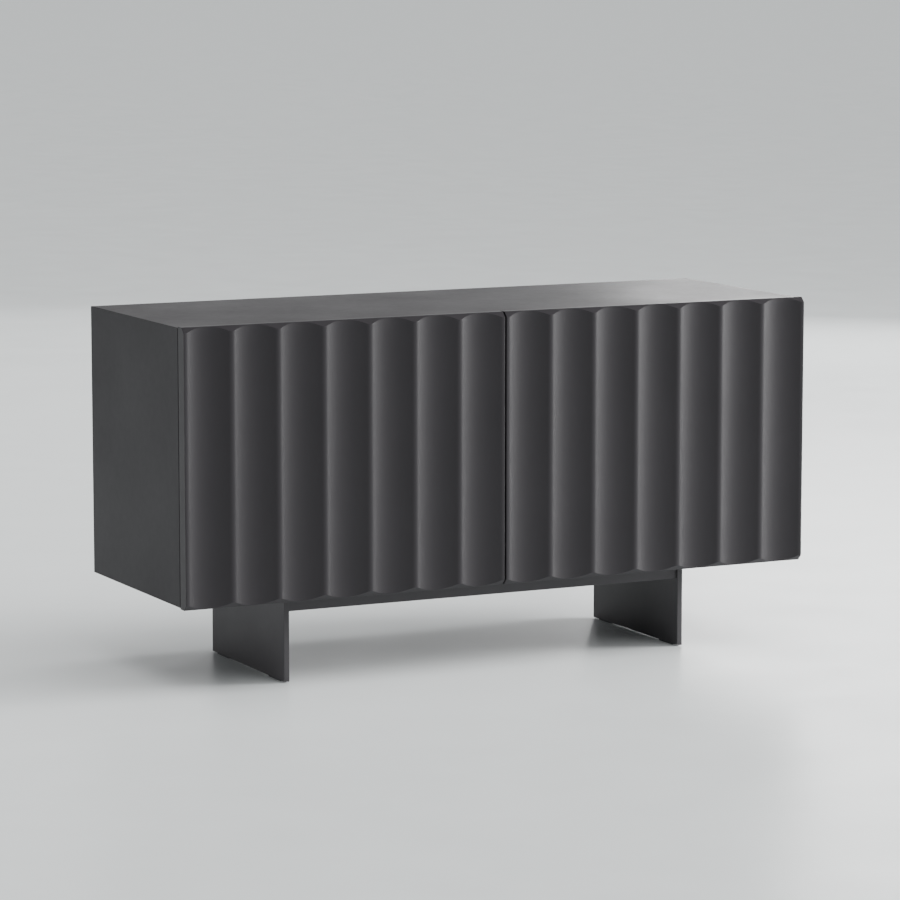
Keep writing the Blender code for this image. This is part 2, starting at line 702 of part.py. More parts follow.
lacquer = finish_material("graphite_lacquer", (0.060, 0.057, 0.060), 0.45)
steel = finish_material("graphite_steel", (0.058, 0.056, 0.058), 0.50)
nickel = finish_material("nickel_plate", (0.62, 0.60, 0.56), 0.30, metallic=1.0)
plastic = finish_material("dark_plastic", (0.035, 0.035, 0.037), 0.55)

case_pieces = make_case()
make_shelves(case_pieces)
make_base(case_pieces)
for side_name, side_sign in SIDES.items():
    hinge_axis = bpy.data.objects.new(side_name + "_door_axis", None)
    sideboard.objects.link(hinge_axis)
    hinge_axis.location = (side_sign * AXIS_X, AXIS_Y, (DOOR_TOP + DOOR_BOTTOM) / 2)
    make_door(side_name, side_sign, hinge_axis)
    make_hinges(side_name, side_sign, hinge_axis)
    make_latch(side_name, side_sign, hinge_axis)
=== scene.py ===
"""Looks of a low two-door sideboard in satin graphite lacquer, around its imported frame.

Metres, +Z up, the front towards -Y. The sections follow the sideboard as it is put together:
case, back, shelves, doors, hinges, latches and base, then the studio round it.
"""

from math import cos, pi, radians, sin, tan

import bmesh
import bpy
from mathutils import Matrix, Vector


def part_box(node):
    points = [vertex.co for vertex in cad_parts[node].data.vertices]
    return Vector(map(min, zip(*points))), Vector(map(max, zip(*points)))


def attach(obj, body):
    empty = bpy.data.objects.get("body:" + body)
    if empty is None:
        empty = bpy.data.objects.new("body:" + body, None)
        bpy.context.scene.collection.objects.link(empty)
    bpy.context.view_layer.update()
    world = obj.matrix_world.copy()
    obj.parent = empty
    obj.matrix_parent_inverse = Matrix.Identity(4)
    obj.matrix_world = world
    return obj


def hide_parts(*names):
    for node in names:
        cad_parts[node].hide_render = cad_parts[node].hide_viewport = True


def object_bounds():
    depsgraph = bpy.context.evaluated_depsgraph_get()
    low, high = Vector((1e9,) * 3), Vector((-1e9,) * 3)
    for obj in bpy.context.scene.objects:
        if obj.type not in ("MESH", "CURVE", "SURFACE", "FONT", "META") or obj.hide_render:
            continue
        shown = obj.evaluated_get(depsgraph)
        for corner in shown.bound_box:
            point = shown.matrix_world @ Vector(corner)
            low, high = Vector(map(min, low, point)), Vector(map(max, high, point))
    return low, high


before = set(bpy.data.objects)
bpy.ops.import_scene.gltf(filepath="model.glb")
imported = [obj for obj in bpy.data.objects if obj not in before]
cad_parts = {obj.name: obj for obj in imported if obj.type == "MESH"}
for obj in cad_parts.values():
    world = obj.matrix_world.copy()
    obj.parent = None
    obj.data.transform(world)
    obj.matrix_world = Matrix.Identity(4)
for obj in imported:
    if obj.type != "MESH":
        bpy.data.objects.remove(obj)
cad_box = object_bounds()

# ---- Case boards ------------------------------------------------------------------------
# Fibreboard, mitred and glued at the corners, and sprayed inside and out with a satin
# graphite lacquer. The sharp edges are eased with fine paper before the last coat, so each
# mitre keeps a hairline. The divider stands between the boards.

BOARD_EASING = 0.0005
LACQUER_COLOUR = (0.0215, 0.0196, 0.0219)
LACQUER_GLOSS = 0.44           # roughness of the satin coat
CASE_SHINE = 0.14              # how much light the case mirrors
PEEL_SIZE = 0.0026             # grain of the sprayed coat
PEEL_RELIEF = 0.000012
TONE_PATCH = 0.11              # size of the patches where a coat's colour drifts
GLOSS_PATCH = 0.16             # size of the patches where its gloss drifts
TOUCH_PATCH = 0.012            # size of the small marks in its gloss
SAME_POINT = 0.00001           # points nearer to each other than this are merged
FLAT_ANGLE = radians(1)        # neighbouring faces flatter than this become one


def link(tree, source, target):
    tree.links.new(source, target)


def noise(tree, place, size, detail, seed):
    """A noise with features of the given size, in metres."""
    cloud = tree.nodes.new("ShaderNodeTexNoise")
    cloud.noise_dimensions = "4D"
    cloud.inputs["W"].default_value = seed
    cloud.inputs["Scale"].default_value = 1 / size
    cloud.inputs["Detail"].default_value = detail
    link(tree, place, cloud.inputs["Vector"])
    return cloud.outputs["Fac"]


def spread(tree, value, low, high, start=0.3, end=0.7):
    """Maps a noise, or any value from start to end, on to low to high."""
    ramp = tree.nodes.new("ShaderNodeMapRange")
    ramp.inputs["From Min"].default_value = start
    ramp.inputs["From Max"].default_value = end
    ramp.inputs["To Min"].default_value = low
    ramp.inputs["To Max"].default_value = high
    link(tree, value, ramp.inputs["Value"])
    return ramp.outputs["Result"]


def blend_colours(tree, factor, first, second):
    """A mix of two colours, each a tuple or a socket."""
    mix = tree.nodes.new("ShaderNodeMix")
    mix.data_type = "RGBA"
    link(tree, factor, mix.inputs[0])
    for socket, colour in ((mix.inputs[6], first), (mix.inputs[7], second)):
        if isinstance(colour, tuple):
            socket.default_value = (*colour, 1.0)
        else:
            link(tree, colour, socket)
    return mix.outputs[2]


def combine_values(tree, operation, first, second):
    """A sum, product or the like of two values, each a number or a socket."""
    step = tree.nodes.new("ShaderNodeMath")
    step.operation = operation
    for socket, value in zip(step.inputs, (first, second)):
        if isinstance(value, (int, float)):
            socket.default_value = value
        else:
            link(tree, value, socket)
    return step.outputs[0]


def coated(name, colour, gloss, grain, relief, drift=0.03, tint=0.035, metallic=0.0, shine=0.5):
    """A coated surface, whose colour and gloss drift slowly under a fine relief.

    Drift is how far the gloss strays, and tint how far the colour does, as a share of it.
    """
    material = bpy.data.materials.new(name)
    material.use_nodes = True
    tree = material.node_tree
    shader = tree.nodes["Principled BSDF"]
    shader.inputs["Metallic"].default_value = metallic
    shader.inputs["Specular IOR Level"].default_value = shine
    place = tree.nodes.new("ShaderNodeTexCoord").outputs["Object"]

    darker = tuple(c * (1 - tint) for c in colour)
    lighter = tuple(c * (1 + tint) for c in colour)
    clouds = spread(tree, noise(tree, place, TONE_PATCH, 3.0, 1.7), 0.0, 1.0)
    link(tree, blend_colours(tree, clouds, darker, lighter), shader.inputs["Base Color"])

    broad = spread(tree, noise(tree, place, GLOSS_PATCH, 3.0, 4.2), gloss - drift, gloss + drift)
    fine = spread(tree, noise(tree, place, TOUCH_PATCH, 4.0, 8.5), -drift / 2, drift / 2)
    link(tree, combine_values(tree, "ADD", broad, fine), shader.inputs["Roughness"])

    bump = tree.nodes.new("ShaderNodeBump")
    bump.inputs["Distance"].default_value = relief
    link(tree, noise(tree, place, grain, 3.0, 0.3), bump.inputs["Height"])
    link(tree, bump.outputs["Normal"], shader.inputs["Normal"])
    return material


def clean_copy(node):
    """A frame node's shape, welded, with the flat faces whole again."""
    shape = bmesh.new()
    shape.from_mesh(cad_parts[node].data)
    bmesh.ops.remove_doubles(shape, verts=shape.verts, dist=SAME_POINT)
    bmesh.ops.dissolve_limit(
        shape, angle_limit=FLAT_ANGLE, verts=shape.verts, edges=shape.edges)
    return shape


def add_object(name, data):
    """A new object in the scene."""
    made = bpy.data.objects.new(name, data)
    bpy.context.scene.collection.objects.link(made)
    return made


def piece(name, shape, material, easing=0.0, steps=2, limit=40):
    """A finished piece from a bmesh, which this frees.

    Edges sharper than limit degrees are eased, and the flat faces keep flat normals.
    """
    mesh = bpy.data.meshes.new(name)
    shape.to_mesh(mesh)
    shape.free()
    mesh.shade_smooth()
    mesh.materials.clear()
    mesh.materials.append(material)
    made = add_object(name, mesh)
    if easing:
        edge = made.modifiers.new("easing", "BEVEL")
        edge.width = easing
        edge.segments = steps
        edge.limit_method = "ANGLE"
        edge.angle_limit = radians(limit)
    flat = made.modifiers.new("flat faces", "WEIGHTED_NORMAL")
    flat.keep_sharp = True
    return made


def fit(made, body, slot, *nodes):
    """Ties a piece to its body and hides the frame nodes that it stands for. Slot is not used."""
    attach(made, body)
    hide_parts(*nodes)


case_lacquer = coated(
    "satin_graphite_lacquer", LACQUER_COLOUR, LACQUER_GLOSS, PEEL_SIZE, PEEL_RELIEF,
    shine=CASE_SHINE)
case_boards = {
    "top_panel": "top_board",
    "bottom_panel": "bottom_board",
    "left_side_panel": "left_side_board",
    "right_side_panel": "right_side_board",
    "centre_divider": "centre_board",
}
for node, name in case_boards.items():
    board = piece(name, clean_copy(node), case_lacquer, BOARD_EASING)
    fit(board, "root", "case_lacquer", node)

# ---- Back -------------------------------------------------------------------------------
# A 6 mm fibreboard sheet held in a groove in the four boards. Its coat is thinner and duller
# than the outside of the case, and shows a little of the board's texture.

BACK_EASING = 0.0003
BACK_GLOSS = 0.56
BOARD_TEXTURE = 0.0011
BOARD_RELIEF = 0.00002
LACQUER_SHINE = 0.24           # how much light the back and the doors mirror

back_lacquer = coated(
    "thin_graphite_lacquer", LACQUER_COLOUR, BACK_GLOSS, BOARD_TEXTURE, BOARD_RELIEF,
    shine=LACQUER_SHINE)
back = piece("back_sheet", clean_copy("back_panel"), back_lacquer, BACK_EASING)
fit(back, "root", "case_lacquer", "back_panel")

# ---- Shelves and shelf pins -------------------------------------------------------------
# One lacquered shelf lies in each bay on four turned nickel pins. A pin pushes into a bored
# hole up to its collar, and its end is domed so that the shelf slides on easily.

SHELF_EASING = 0.001
NICKEL_COLOUR = (0.70, 0.68, 0.64)
NICKEL_GLOSS = 0.38
NICKEL_GRAIN = 0.0009
NICKEL_RELIEF = 0.000008
PIN_RADIUS = 0.0025
PIN_REACH = 0.009              # how far a pin stands out of its board
PIN_DOME = 0.0006
PIN_COLLAR_FOOT = 0.0003       # heights on the collar, from the board out
PIN_COLLAR_CHAMFER = 0.0012
PIN_COLLAR_TOP = 0.0015
PIN_COLLAR_FILLET = 0.0016
TURNING_STEPS = 40             # sides of a turned solid
PIN_STEPS = 28
DOME_STEPS = 4
SAME_TURNED_POINT = 0.000002   # the same as SAME_POINT, for finer shapes


def turned_at(place, angle, axis):
    """The matrix that turns a shape about an axis and moves it to its place."""
    return Matrix.Translation(place) @ Matrix.Rotation(angle, 4, axis)


def add_part(shape, part):
    """Moves a finished bmesh into the shape that it belongs to."""
    mesh = bpy.data.meshes.new("part")
    part.to_mesh(mesh)
    part.free()
    shape.from_mesh(mesh)
    bpy.data.meshes.remove(mesh)


def add_turned(shape, profile, turn, steps=TURNING_STEPS):
    """Adds a turned solid: (radius, height) points from the axis, round and back to the axis."""
    own = bmesh.new()
    verts = [own.verts.new((radius, 0.0, height)) for radius, height in profile]
    edges = [own.edges.new(pair) for pair in zip(verts[:-1], verts[1:])]
    bmesh.ops.spin(
        own, geom=verts + edges, axis=(0, 0, 1), cent=(0, 0, 0), angle=2 * pi, steps=steps)
    bmesh.ops.remove_doubles(own, verts=own.verts, dist=SAME_TURNED_POINT)
    bmesh.ops.recalc_face_normals(own, faces=own.faces)
    bmesh.ops.transform(own, matrix=turn, verts=own.verts)
    add_part(shape, own)


def domed(radius, top, dome):
    """Profile points for a rounded edge of a turned end, from the axis outwards."""
    points = [(0.0, top)]
    for step in range(DOME_STEPS + 1):
        angle = pi / 2 * (1 - step / DOME_STEPS)
        points.append((radius - dome + dome * cos(angle), top - dome + dome * sin(angle)))
    return points


def centre_of(node):
    """The middle of a frame node's box."""
    low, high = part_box(node)
    return (low + high) / 2


nickel = coated(
    "nickel_plate", NICKEL_COLOUR, NICKEL_GLOSS, NICKEL_GRAIN, NICKEL_RELIEF,
    drift=0.06, tint=0.05, metallic=1.0)
for side in ("left", "right"):
    shelf = piece(
        side + "_shelf_board", clean_copy(side + "_shelf"), case_lacquer, SHELF_EASING, steps=3)
    fit(shelf, "root", "case_lacquer", side + "_shelf")

pins = bmesh.new()
pin_nodes = sorted(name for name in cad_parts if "_shelf_pin_" in name)
for node in pin_nodes:
    low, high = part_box(node)
    middle = (low + high) / 2
    facing = 1 if node.startswith("left") == ("outer" in node) else -1
    collar = (high.z - low.z) / 2
    sunk = PIN_REACH - (high.x - low.x)
    profile = domed(PIN_RADIUS, PIN_REACH, PIN_DOME) + [
        (PIN_RADIUS, PIN_COLLAR_FILLET),
        (collar - (PIN_COLLAR_TOP - PIN_COLLAR_CHAMFER), PIN_COLLAR_TOP),
        (collar, PIN_COLLAR_CHAMFER), (collar, PIN_COLLAR_FOOT), (PIN_RADIUS, PIN_COLLAR_FOOT),
        (PIN_RADIUS, sunk), (0.0, sunk),
    ]
    board_x = high.x - PIN_REACH if facing > 0 else low.x + PIN_REACH
    turn = turned_at((board_x, middle.y, middle.z), facing * pi / 2, "Y")
    add_turned(pins, profile, turn, PIN_STEPS)
fit(piece("shelf_pins", pins, nickel), "root", "nickel_hardware", *pin_nodes)

# ---- Doors ------------------------------------------------------------------------------
# Each door is a 25 mm fibreboard, routed with seven hollow flutes that meet in narrow round
# crests. Its top and bottom front edges are cut back at 45 degrees, and two 35 mm bores in
# its back take the hinge cups. It is lacquered like the case, with one coat more, but its
# colour is painted lighter than the case's, which is painted light that makes the doors look
# more brightly lit. The crests carry a painted highlight as well as a little real polish.

FLUTES = 7
FLUTE_DEPTH = 0.0085
FLUTE_INSET = 0.002            # from the board's edge to its first crest
CREST_HALF_WIDTH = 0.006
DOOR_BEVEL = 0.009
DOOR_FILLET = 0.0008           # rounding where the bevel meets the flutes and the edge
# The case's lacquer colour, painted lighter so that the doors look more brightly lit.
DOOR_LIGHTENED_COLOUR = (0.0270, 0.0247, 0.0275)
DOOR_ARRIS = 0.0018            # rounding of the upright front corners
BACK_ARRIS = 0.0007
BACK_ZONE = 0.001              # edges nearer to the back than this take the back's rounding
FILLET_STEPS = 3
COLUMNS_PER_FLUTE = 32
CREST_CROWDING = 0.6           # how far the mesh columns gather at the crests
ARC_ANGLE = radians(0.3)       # faces flatter than this merge, and the hollows stay round
CORNER_ANGLE = radians(60)     # edges sharper than this are rounded
BORE_CLEARANCE = 0.0003
BORE_DEPTH = 0.0128
BORE_STEPS = 64
CREST_REACH = 0.0009           # how far behind the front the crests' polish and painted highlight end
PUSH_REACH = 0.09              # how far from the doors' gap hands push
SMUDGE_SIZE = 0.022
SMUDGE_RANGE = (0.45, 0.7)     # the noise, from no smudge to a full one
POLISH = 0.05                  # how much smoother a touched spot is
CREST_HIGHLIGHT_SHARE = 0.35              # how much of the painted highlight colour shows on the crests
CREST_HIGHLIGHT_TINT = 1.18


class Term:
    """A number in a node tree, so that a formula is written as arithmetic."""

    def __init__(self, tree, socket):
        self.tree = tree
        self.socket = socket

    def step(self, operation, first, second=None):
        node = self.tree.nodes.new("ShaderNodeMath")
        node.operation = operation
        for socket, value in zip(node.inputs, (first, second)):
            if isinstance(value, Term):
                link(self.tree, value.socket, socket)
            elif value is not None:
                socket.default_value = value
        return Term(self.tree, node.outputs[0])

    def __add__(self, other):
        return self.step("ADD", self, other)

    def __sub__(self, other):
        return self.step("SUBTRACT", self, other)

    def __rsub__(self, other):
        return self.step("SUBTRACT", other, self)

    def __mul__(self, other):
        return self.step("MULTIPLY", self, other)

    def __truediv__(self, other):
        return self.step("DIVIDE", self, other)

    __rmul__ = __mul__

    def apply(self, operation):
        return self.step(operation, self)

    def over(self, limit):
        """1 where this is greater than limit, and otherwise 0."""
        return self.step("GREATER_THAN", self, limit)

    def choose(self, when_one, when_zero):
        """when_one where this is 1, and when_zero where it is 0."""
        return self * when_one + (1 - self) * when_zero


def tree_with_inputs(name, floats):
    """A Geometry Nodes tree with named number inputs, and a material input."""
    tree = bpy.data.node_groups.new(name, "GeometryNodeTree")
    tree.interface.new_socket("Geometry", in_out="INPUT", socket_type="NodeSocketGeometry")
    for label in floats:
        tree.interface.new_socket(label, in_out="INPUT", socket_type="NodeSocketFloat")
    tree.interface.new_socket("Material", in_out="INPUT", socket_type="NodeSocketMaterial")
    tree.interface.new_socket("Geometry", in_out="OUTPUT", socket_type="NodeSocketGeometry")
    source = tree.nodes.new("NodeGroupInput")
    given = {label: Term(tree, source.outputs[label]) for label in floats}
    return tree, source, given


def as_vector(tree, parts):
    """A vector from three values, each a number or a Term."""
    vector = tree.nodes.new("ShaderNodeCombineXYZ")
    for socket, value in zip(vector.inputs, parts):
        if isinstance(value, Term):
            link(tree, value.socket, socket)
        else:
            socket.default_value = value
    return vector.outputs["Vector"]


def end_tree(tree, source, shape):
    """Closes a tree with Realize Instances and Set Material."""
    real = tree.nodes.new("GeometryNodeRealizeInstances")
    paint = tree.nodes.new("GeometryNodeSetMaterial")
    result = tree.nodes.new("NodeGroupOutput")
    link(tree, shape, real.inputs["Geometry"])
    link(tree, real.outputs["Geometry"], paint.inputs["Geometry"])
    link(tree, source.outputs["Material"], paint.inputs["Material"])
    link(tree, paint.outputs["Geometry"], result.inputs["Geometry"])


def finished_shape(made):
    """An object's shape after its modifiers, as a bmesh. The object is removed."""
    bpy.context.view_layer.update()
    view = bpy.context.evaluated_depsgraph_get()
    mesh = bpy.data.meshes.new_from_object(made.evaluated_get(view))
    shape = bmesh.new()
    shape.from_mesh(mesh)
    bpy.data.objects.remove(made)
    bpy.data.meshes.remove(mesh)
    return shape


def grown(tree, seed_mesh, values, material):
    """Runs a tree on a mesh with the named values, and gives the result as a bmesh."""
    seed = add_object(tree.name, seed_mesh)
    grow = seed.modifiers.new("grow", "NODES")
    grow.node_group = tree
    for socket in tree.interface.items_tree:
        if socket.in_out == "INPUT" and socket.name in values:
            grow[socket.identifier] = values[socket.name]
        elif socket.in_out == "INPUT" and socket.name == "Material":
            grow[socket.identifier] = material
    return finished_shape(seed)


def fluted_board_tree():
    """A board whose front, in plan, is a row of hollow arcs joined by small round crests.

    Rings of points run round the board's upright section. Each ring follows the flutes in
    depth, so the bevels cut the hollows in the scallops that a router leaves.
    """
    tree, source, given = tree_with_inputs("fluted board", (
        "Width", "Height", "Thickness", "Flutes", "Flute Depth", "Inset",
        "Crest Half Width", "Bevel", "Fillet"))
    ring_points = 2 * (1 + 2 * (FILLET_STEPS + 1))

    tube = tree.nodes.new("GeometryNodeMeshCylinder")
    tube.inputs["Vertices"].default_value = ring_points
    tube.inputs["Side Segments"].default_value = FLUTES * COLUMNS_PER_FLUTE
    index = Term(tree, tree.nodes.new("GeometryNodeInputIndex").outputs[0])
    column = (index / ring_points).apply("FLOOR")
    ring = index - column * ring_points

    along = column / COLUMNS_PER_FLUTE
    x = given["Width"] / given["Flutes"] * (
        along - (along * (2 * pi)).apply("SINE") * (CREST_CROWDING / (2 * pi)))
    pitch = (given["Width"] - given["Inset"] * 2) / given["Flutes"]
    cell = (x - given["Inset"]) / pitch
    off_crest = (cell - cell.apply("ROUND")).apply("ABSOLUTE") * pitch
    half_slope = (given["Flute Depth"] * 2 / pitch).apply("ARCTANGENT")
    slope_sine = (half_slope * 2).apply("SINE")
    crest_radius = given["Crest Half Width"] / slope_sine
    hollow_radius = (pitch / 2 - given["Crest Half Width"]) / slope_sine
    on_crest = crest_radius - (
        crest_radius * crest_radius - off_crest * off_crest).apply("SQRT")
    off_middle = pitch / 2 - off_crest
    in_hollow = given["Flute Depth"] - hollow_radius + (
        hollow_radius * hollow_radius - off_middle * off_middle).apply("SQRT")
    depth = off_crest.over(given["Crest Half Width"]).choose(in_hollow, on_crest)

    lower = ring.over(ring_points / 2 - 0.5)
    level = lower.choose(ring_points - 1 - ring, ring)
    is_front = level.over(FILLET_STEPS + 1.5)
    turned = (level - 1 - is_front) * radians(45 / FILLET_STEPS)
    radius = given["Fillet"]
    shoulder = radius * tan(radians(22.5))
    top = given["Height"] / 2
    centre_y = is_front.choose(depth + radius, given["Bevel"] + shoulder)
    centre_z = is_front.choose(top - given["Bevel"] + depth - shoulder, top - radius)
    beyond_corner = level.over(0.5)
    y = beyond_corner.choose(centre_y - radius * turned.apply("SINE"), given["Thickness"])
    z = beyond_corner.choose(centre_z + radius * turned.apply("COSINE"), top)
    z = z * (1 - 2 * lower)

    place = tree.nodes.new("GeometryNodeSetPosition")
    link(tree, tube.outputs["Mesh"], place.inputs["Geometry"])
    link(tree, as_vector(tree, (x, y, z)), place.inputs["Position"])
    end_tree(tree, source, place.outputs["Geometry"])
    return tree


def door_lacquer_material():
    """The case's lacquer painted lighter, with a painted highlight on the crests. It is polished
    a little where hands brush the crests and push the doors.
    """
    material = coated(
        "door_graphite_lacquer", DOOR_LIGHTENED_COLOUR, LACQUER_GLOSS, PEEL_SIZE, PEEL_RELIEF,
        shine=LACQUER_SHINE)
    tree = material.node_tree
    shader = tree.nodes["Principled BSDF"]
    place = tree.nodes.new("ShaderNodeTexCoord").outputs["Object"]
    parts = tree.nodes.new("ShaderNodeSeparateXYZ")
    link(tree, place, parts.inputs["Vector"])
    front = cad_box[0].y
    crest = spread(tree, parts.outputs["Y"], 1.0, 0.0, front, front + CREST_REACH)
    from_gap = combine_values(tree, "ABSOLUTE", parts.outputs["X"], 0.0)
    push_zone = spread(tree, from_gap, 1.0, 0.0, 0.0, PUSH_REACH)
    smudges = spread(
        tree, noise(tree, place, SMUDGE_SIZE, 4.0, 6.1), 0.0, 1.0, *SMUDGE_RANGE)
    marks = combine_values(tree, "MULTIPLY", push_zone, smudges)
    touched = combine_values(tree, "ADD", crest, marks)
    polish = combine_values(tree, "MULTIPLY", touched, POLISH)
    gloss = shader.inputs["Roughness"].links[0].from_socket
    link(tree, combine_values(tree, "SUBTRACT", gloss, polish), shader.inputs["Roughness"])
    # Painted highlight: the crests are coloured lighter, as if they caught the light.
    crest_highlight_colour = tuple(c * CREST_HIGHLIGHT_TINT for c in DOOR_LIGHTENED_COLOUR)
    paint = shader.inputs["Base Color"].links[0].from_socket
    crest_highlight = combine_values(tree, "MULTIPLY", crest, CREST_HIGHLIGHT_SHARE)
    link(tree, blend_colours(tree, crest_highlight, paint, crest_highlight_colour), shader.inputs["Base Color"])
    return material


def hinge_drill(side, door_back):
    """An object that fills the bores for a door's two hinge cups."""
    bores = bmesh.new()
    for level in ("lower", "upper"):
        cup = f"{side}_{level}_hinge_cup"
        low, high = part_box(cup)
        radius = (high.x - low.x) / 2 + BORE_CLEARANCE
        centre = centre_of(cup)
        bmesh.ops.create_cone(
            bores, cap_ends=True, segments=BORE_STEPS, radius1=radius, radius2=radius,
            depth=2 * BORE_DEPTH, matrix=turned_at((centre.x, door_back, centre.z), pi / 2, "X"))
    mesh = bpy.data.meshes.new("drill")
    bores.to_mesh(mesh)
    bores.free()
    return add_object("drill", mesh)


door_lacquer = door_lacquer_material()
fluted_board = fluted_board_tree()
for side in ("left", "right"):
    low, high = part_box(side + "_door")
    values = {
        "Width": high.x - low.x, "Height": high.z - low.z, "Thickness": high.y - low.y,
        "Flutes": float(FLUTES), "Flute Depth": FLUTE_DEPTH, "Inset": FLUTE_INSET,
        "Crest Half Width": CREST_HALF_WIDTH, "Bevel": DOOR_BEVEL, "Fillet": DOOR_FILLET,
    }
    shape = grown(fluted_board, bpy.data.meshes.new("door_seed"), values, door_lacquer)
    bmesh.ops.dissolve_limit(
        shape, angle_limit=ARC_ANGLE, verts=shape.verts, edges=shape.edges)
    bmesh.ops.recalc_face_normals(shape, faces=shape.faces)
    middle_z = (low.z + high.z) / 2
    bmesh.ops.translate(shape, verts=shape.verts, vec=(low.x, low.y, middle_z))
    weights = shape.edges.layers.float.new("bevel_weight_edge")
    for edge in shape.edges:
        if len(edge.link_faces) == 2 and edge.calc_face_angle() > CORNER_ANGLE:
            at_front = all(v.co.y < high.y - BACK_ZONE for v in edge.verts)
            edge[weights] = 1.0 if at_front else BACK_ARRIS / DOOR_ARRIS
    blank = piece(side + "_door_blank", shape, door_lacquer, DOOR_ARRIS, steps=3)
    blank.modifiers["easing"].limit_method = "WEIGHT"

    drill = hinge_drill(side, high.y)
    cut = blank.modifiers.new("hinge bores", "BOOLEAN")
    cut.object = drill
    blank.modifiers.move(len(blank.modifiers) - 1, len(blank.modifiers) - 2)
    drilled = finished_shape(blank)
    bpy.data.objects.remove(drill)
    bmesh.ops.remove_doubles(drilled, verts=drilled.verts, dist=SAME_TURNED_POINT)
    door = piece(side + "_fluted_door", drilled, door_lacquer)
    fit(door, side + "_door", "door_lacquer", side + "_door")

# ---- Hinges -----------------------------------------------------------------------------
# Concealed cup hinges in nickel-plated steel. The drawn cup presses into its bore, and its
# flange is screwed to the back of the door. The bent arm clips to a plate that two screws
# hold to the side of the case.

CUP_FLANGE_WIDTH = 0.033
FLANGE_CORNER = 0.006
FLANGE_THICKNESS = 0.001
CUP_WALL = 0.0008
CUP_CORNER = 0.0015            # where the cup's wall turns into its floor
CUP_FILLET = 0.002             # the same inside, up from the floor's outer face
CUP_EASING = 0.00015
CUP_STEPS = 56
RIM_ROLL = 0.0004
EAR_START = 0.0033             # from the middle of the pin to an ear
EAR_HALF = 0.0022
RIVET_DOME = 0.0003
RIVET_STEPS = 20
ARM_EASING = 0.0004
PLATE_CORNER = 0.004
PLATE_EASING = 0.0005
CORNER_STEPS = 6
FIXING_SCREW_OFFSET = 0.016    # up or down from the plate's middle
ARM_SCREW_SHARES = (0.30, 0.72)               # along the plate, from its front
CUP_SCREW = {"Radius": 0.0030, "Height": 0.0009, "Recess Width": 0.0007}
PLATE_SCREW = {"Radius": 0.0034, "Height": 0.0011, "Recess Width": 0.0008}
SCREW_SEGMENTS = 24
SCREW_RINGS = 12
RECESS_LENGTH = 1.15           # the cross recess, as a share of the head's radius
RECESS_DEPTH = 1.2             # and as a share of its height, half of it above the head
RECESS_STAGGER = 1.06          # the second bar is deeper, so that no two faces coincide


def rounded_outline(width, height, corner):
    """Points of a rectangle with round corners, centred on the origin."""
    points = []
    for quarter in range(4):
        side_x = 1 if quarter in (0, 3) else -1
        side_y = 1 if quarter in (0, 1) else -1
        centre_x = side_x * (width / 2 - corner)
        centre_y = side_y * (height / 2 - corner)
        for step in range(CORNER_STEPS + 1):
            angle = (quarter + step / CORNER_STEPS) * pi / 2
            points.append((centre_x + corner * cos(angle), centre_y + corner * sin(angle)))
    return points


def add_plate(shape, outline, thickness, turn, hole=0.0):
    """Adds a flat plate with the given outline and, if wanted, a round hole in its middle."""
    drawing = bpy.data.curves.new("plate", "CURVE")
    drawing.dimensions = "2D"
    drawing.fill_mode = "BOTH"
    drawing.extrude = thickness / 2
    outlines = [outline]
    if hole:
        outlines.append([
            (hole * cos(2 * pi * step / TURNING_STEPS), hole * sin(2 * pi * step / TURNING_STEPS))
            for step in range(TURNING_STEPS)])
    for points in outlines:
        line = drawing.splines.new("POLY")
        line.points.add(len(points) - 1)
        for point, (x, y) in zip(line.points, points):
            point.co = (x, y, 0.0, 1.0)
        line.use_cyclic_u = True
    plate = finished_shape(add_object("plate", drawing))
    bmesh.ops.remove_doubles(plate, verts=plate.verts, dist=SAME_POINT)
    bmesh.ops.dissolve_limit(
        plate, angle_limit=FLAT_ANGLE, verts=plate.verts, edges=plate.edges)
    bmesh.ops.dissolve_degenerate(plate, dist=SAME_POINT, edges=plate.edges)
    bmesh.ops.recalc_face_normals(plate, faces=plate.faces)
    bmesh.ops.transform(plate, matrix=turn, verts=plate.verts)
    add_part(shape, plate)


def add_box(shape, low, high):
    """Adds a box between two corners."""
    made = bmesh.ops.create_cube(shape, size=1.0)["verts"]
    bmesh.ops.scale(shape, vec=Vector(high) - Vector(low), verts=made)
    bmesh.ops.translate(shape, vec=(Vector(low) + Vector(high)) / 2, verts=made)


def lifted(tree, shape, height):
    """A tree's shape, moved up."""
    lift = tree.nodes.new("GeometryNodeTransform")
    link(tree, shape, lift.inputs["Geometry"])
    link(tree, as_vector(tree, (0.0, 0.0, height)), lift.inputs["Translation"])
    return lift.outputs["Geometry"]


def stand_on_points(tree, source, shape, seed):
    """Ends a tree with the shape on every point, along its facing, turned at random."""
    facing = tree.nodes.new("GeometryNodeInputNamedAttribute")
    facing.data_type = "FLOAT_VECTOR"
    facing.inputs["Name"].default_value = "facing"
    aim = tree.nodes.new("FunctionNodeAlignRotationToVector")
    aim.axis = "Z"
    link(tree, facing.outputs["Attribute"], aim.inputs["Vector"])
    chance = tree.nodes.new("FunctionNodeRandomValue")
    chance.data_type = "FLOAT"
    chance.inputs[3].default_value = pi
    link(tree, seed.socket, chance.inputs["Seed"])
    about = as_vector(tree, (0.0, 0.0, Term(tree, chance.outputs[1])))
    to_turn = tree.nodes.new("FunctionNodeEulerToRotation")
    link(tree, about, to_turn.inputs["Euler"])
    spin = tree.nodes.new("FunctionNodeRotateRotation")
    spin.rotation_space = "LOCAL"
    link(tree, aim.outputs["Rotation"], spin.inputs["Rotation"])
    link(tree, to_turn.outputs["Rotation"], spin.inputs["Rotate By"])
    scatter = tree.nodes.new("GeometryNodeInstanceOnPoints")
    link(tree, source.outputs["Geometry"], scatter.inputs["Points"])
    link(tree, shape, scatter.inputs["Instance"])
    link(tree, spin.outputs["Rotation"], scatter.inputs["Rotation"])
    end_tree(tree, source, scatter.outputs["Instances"])


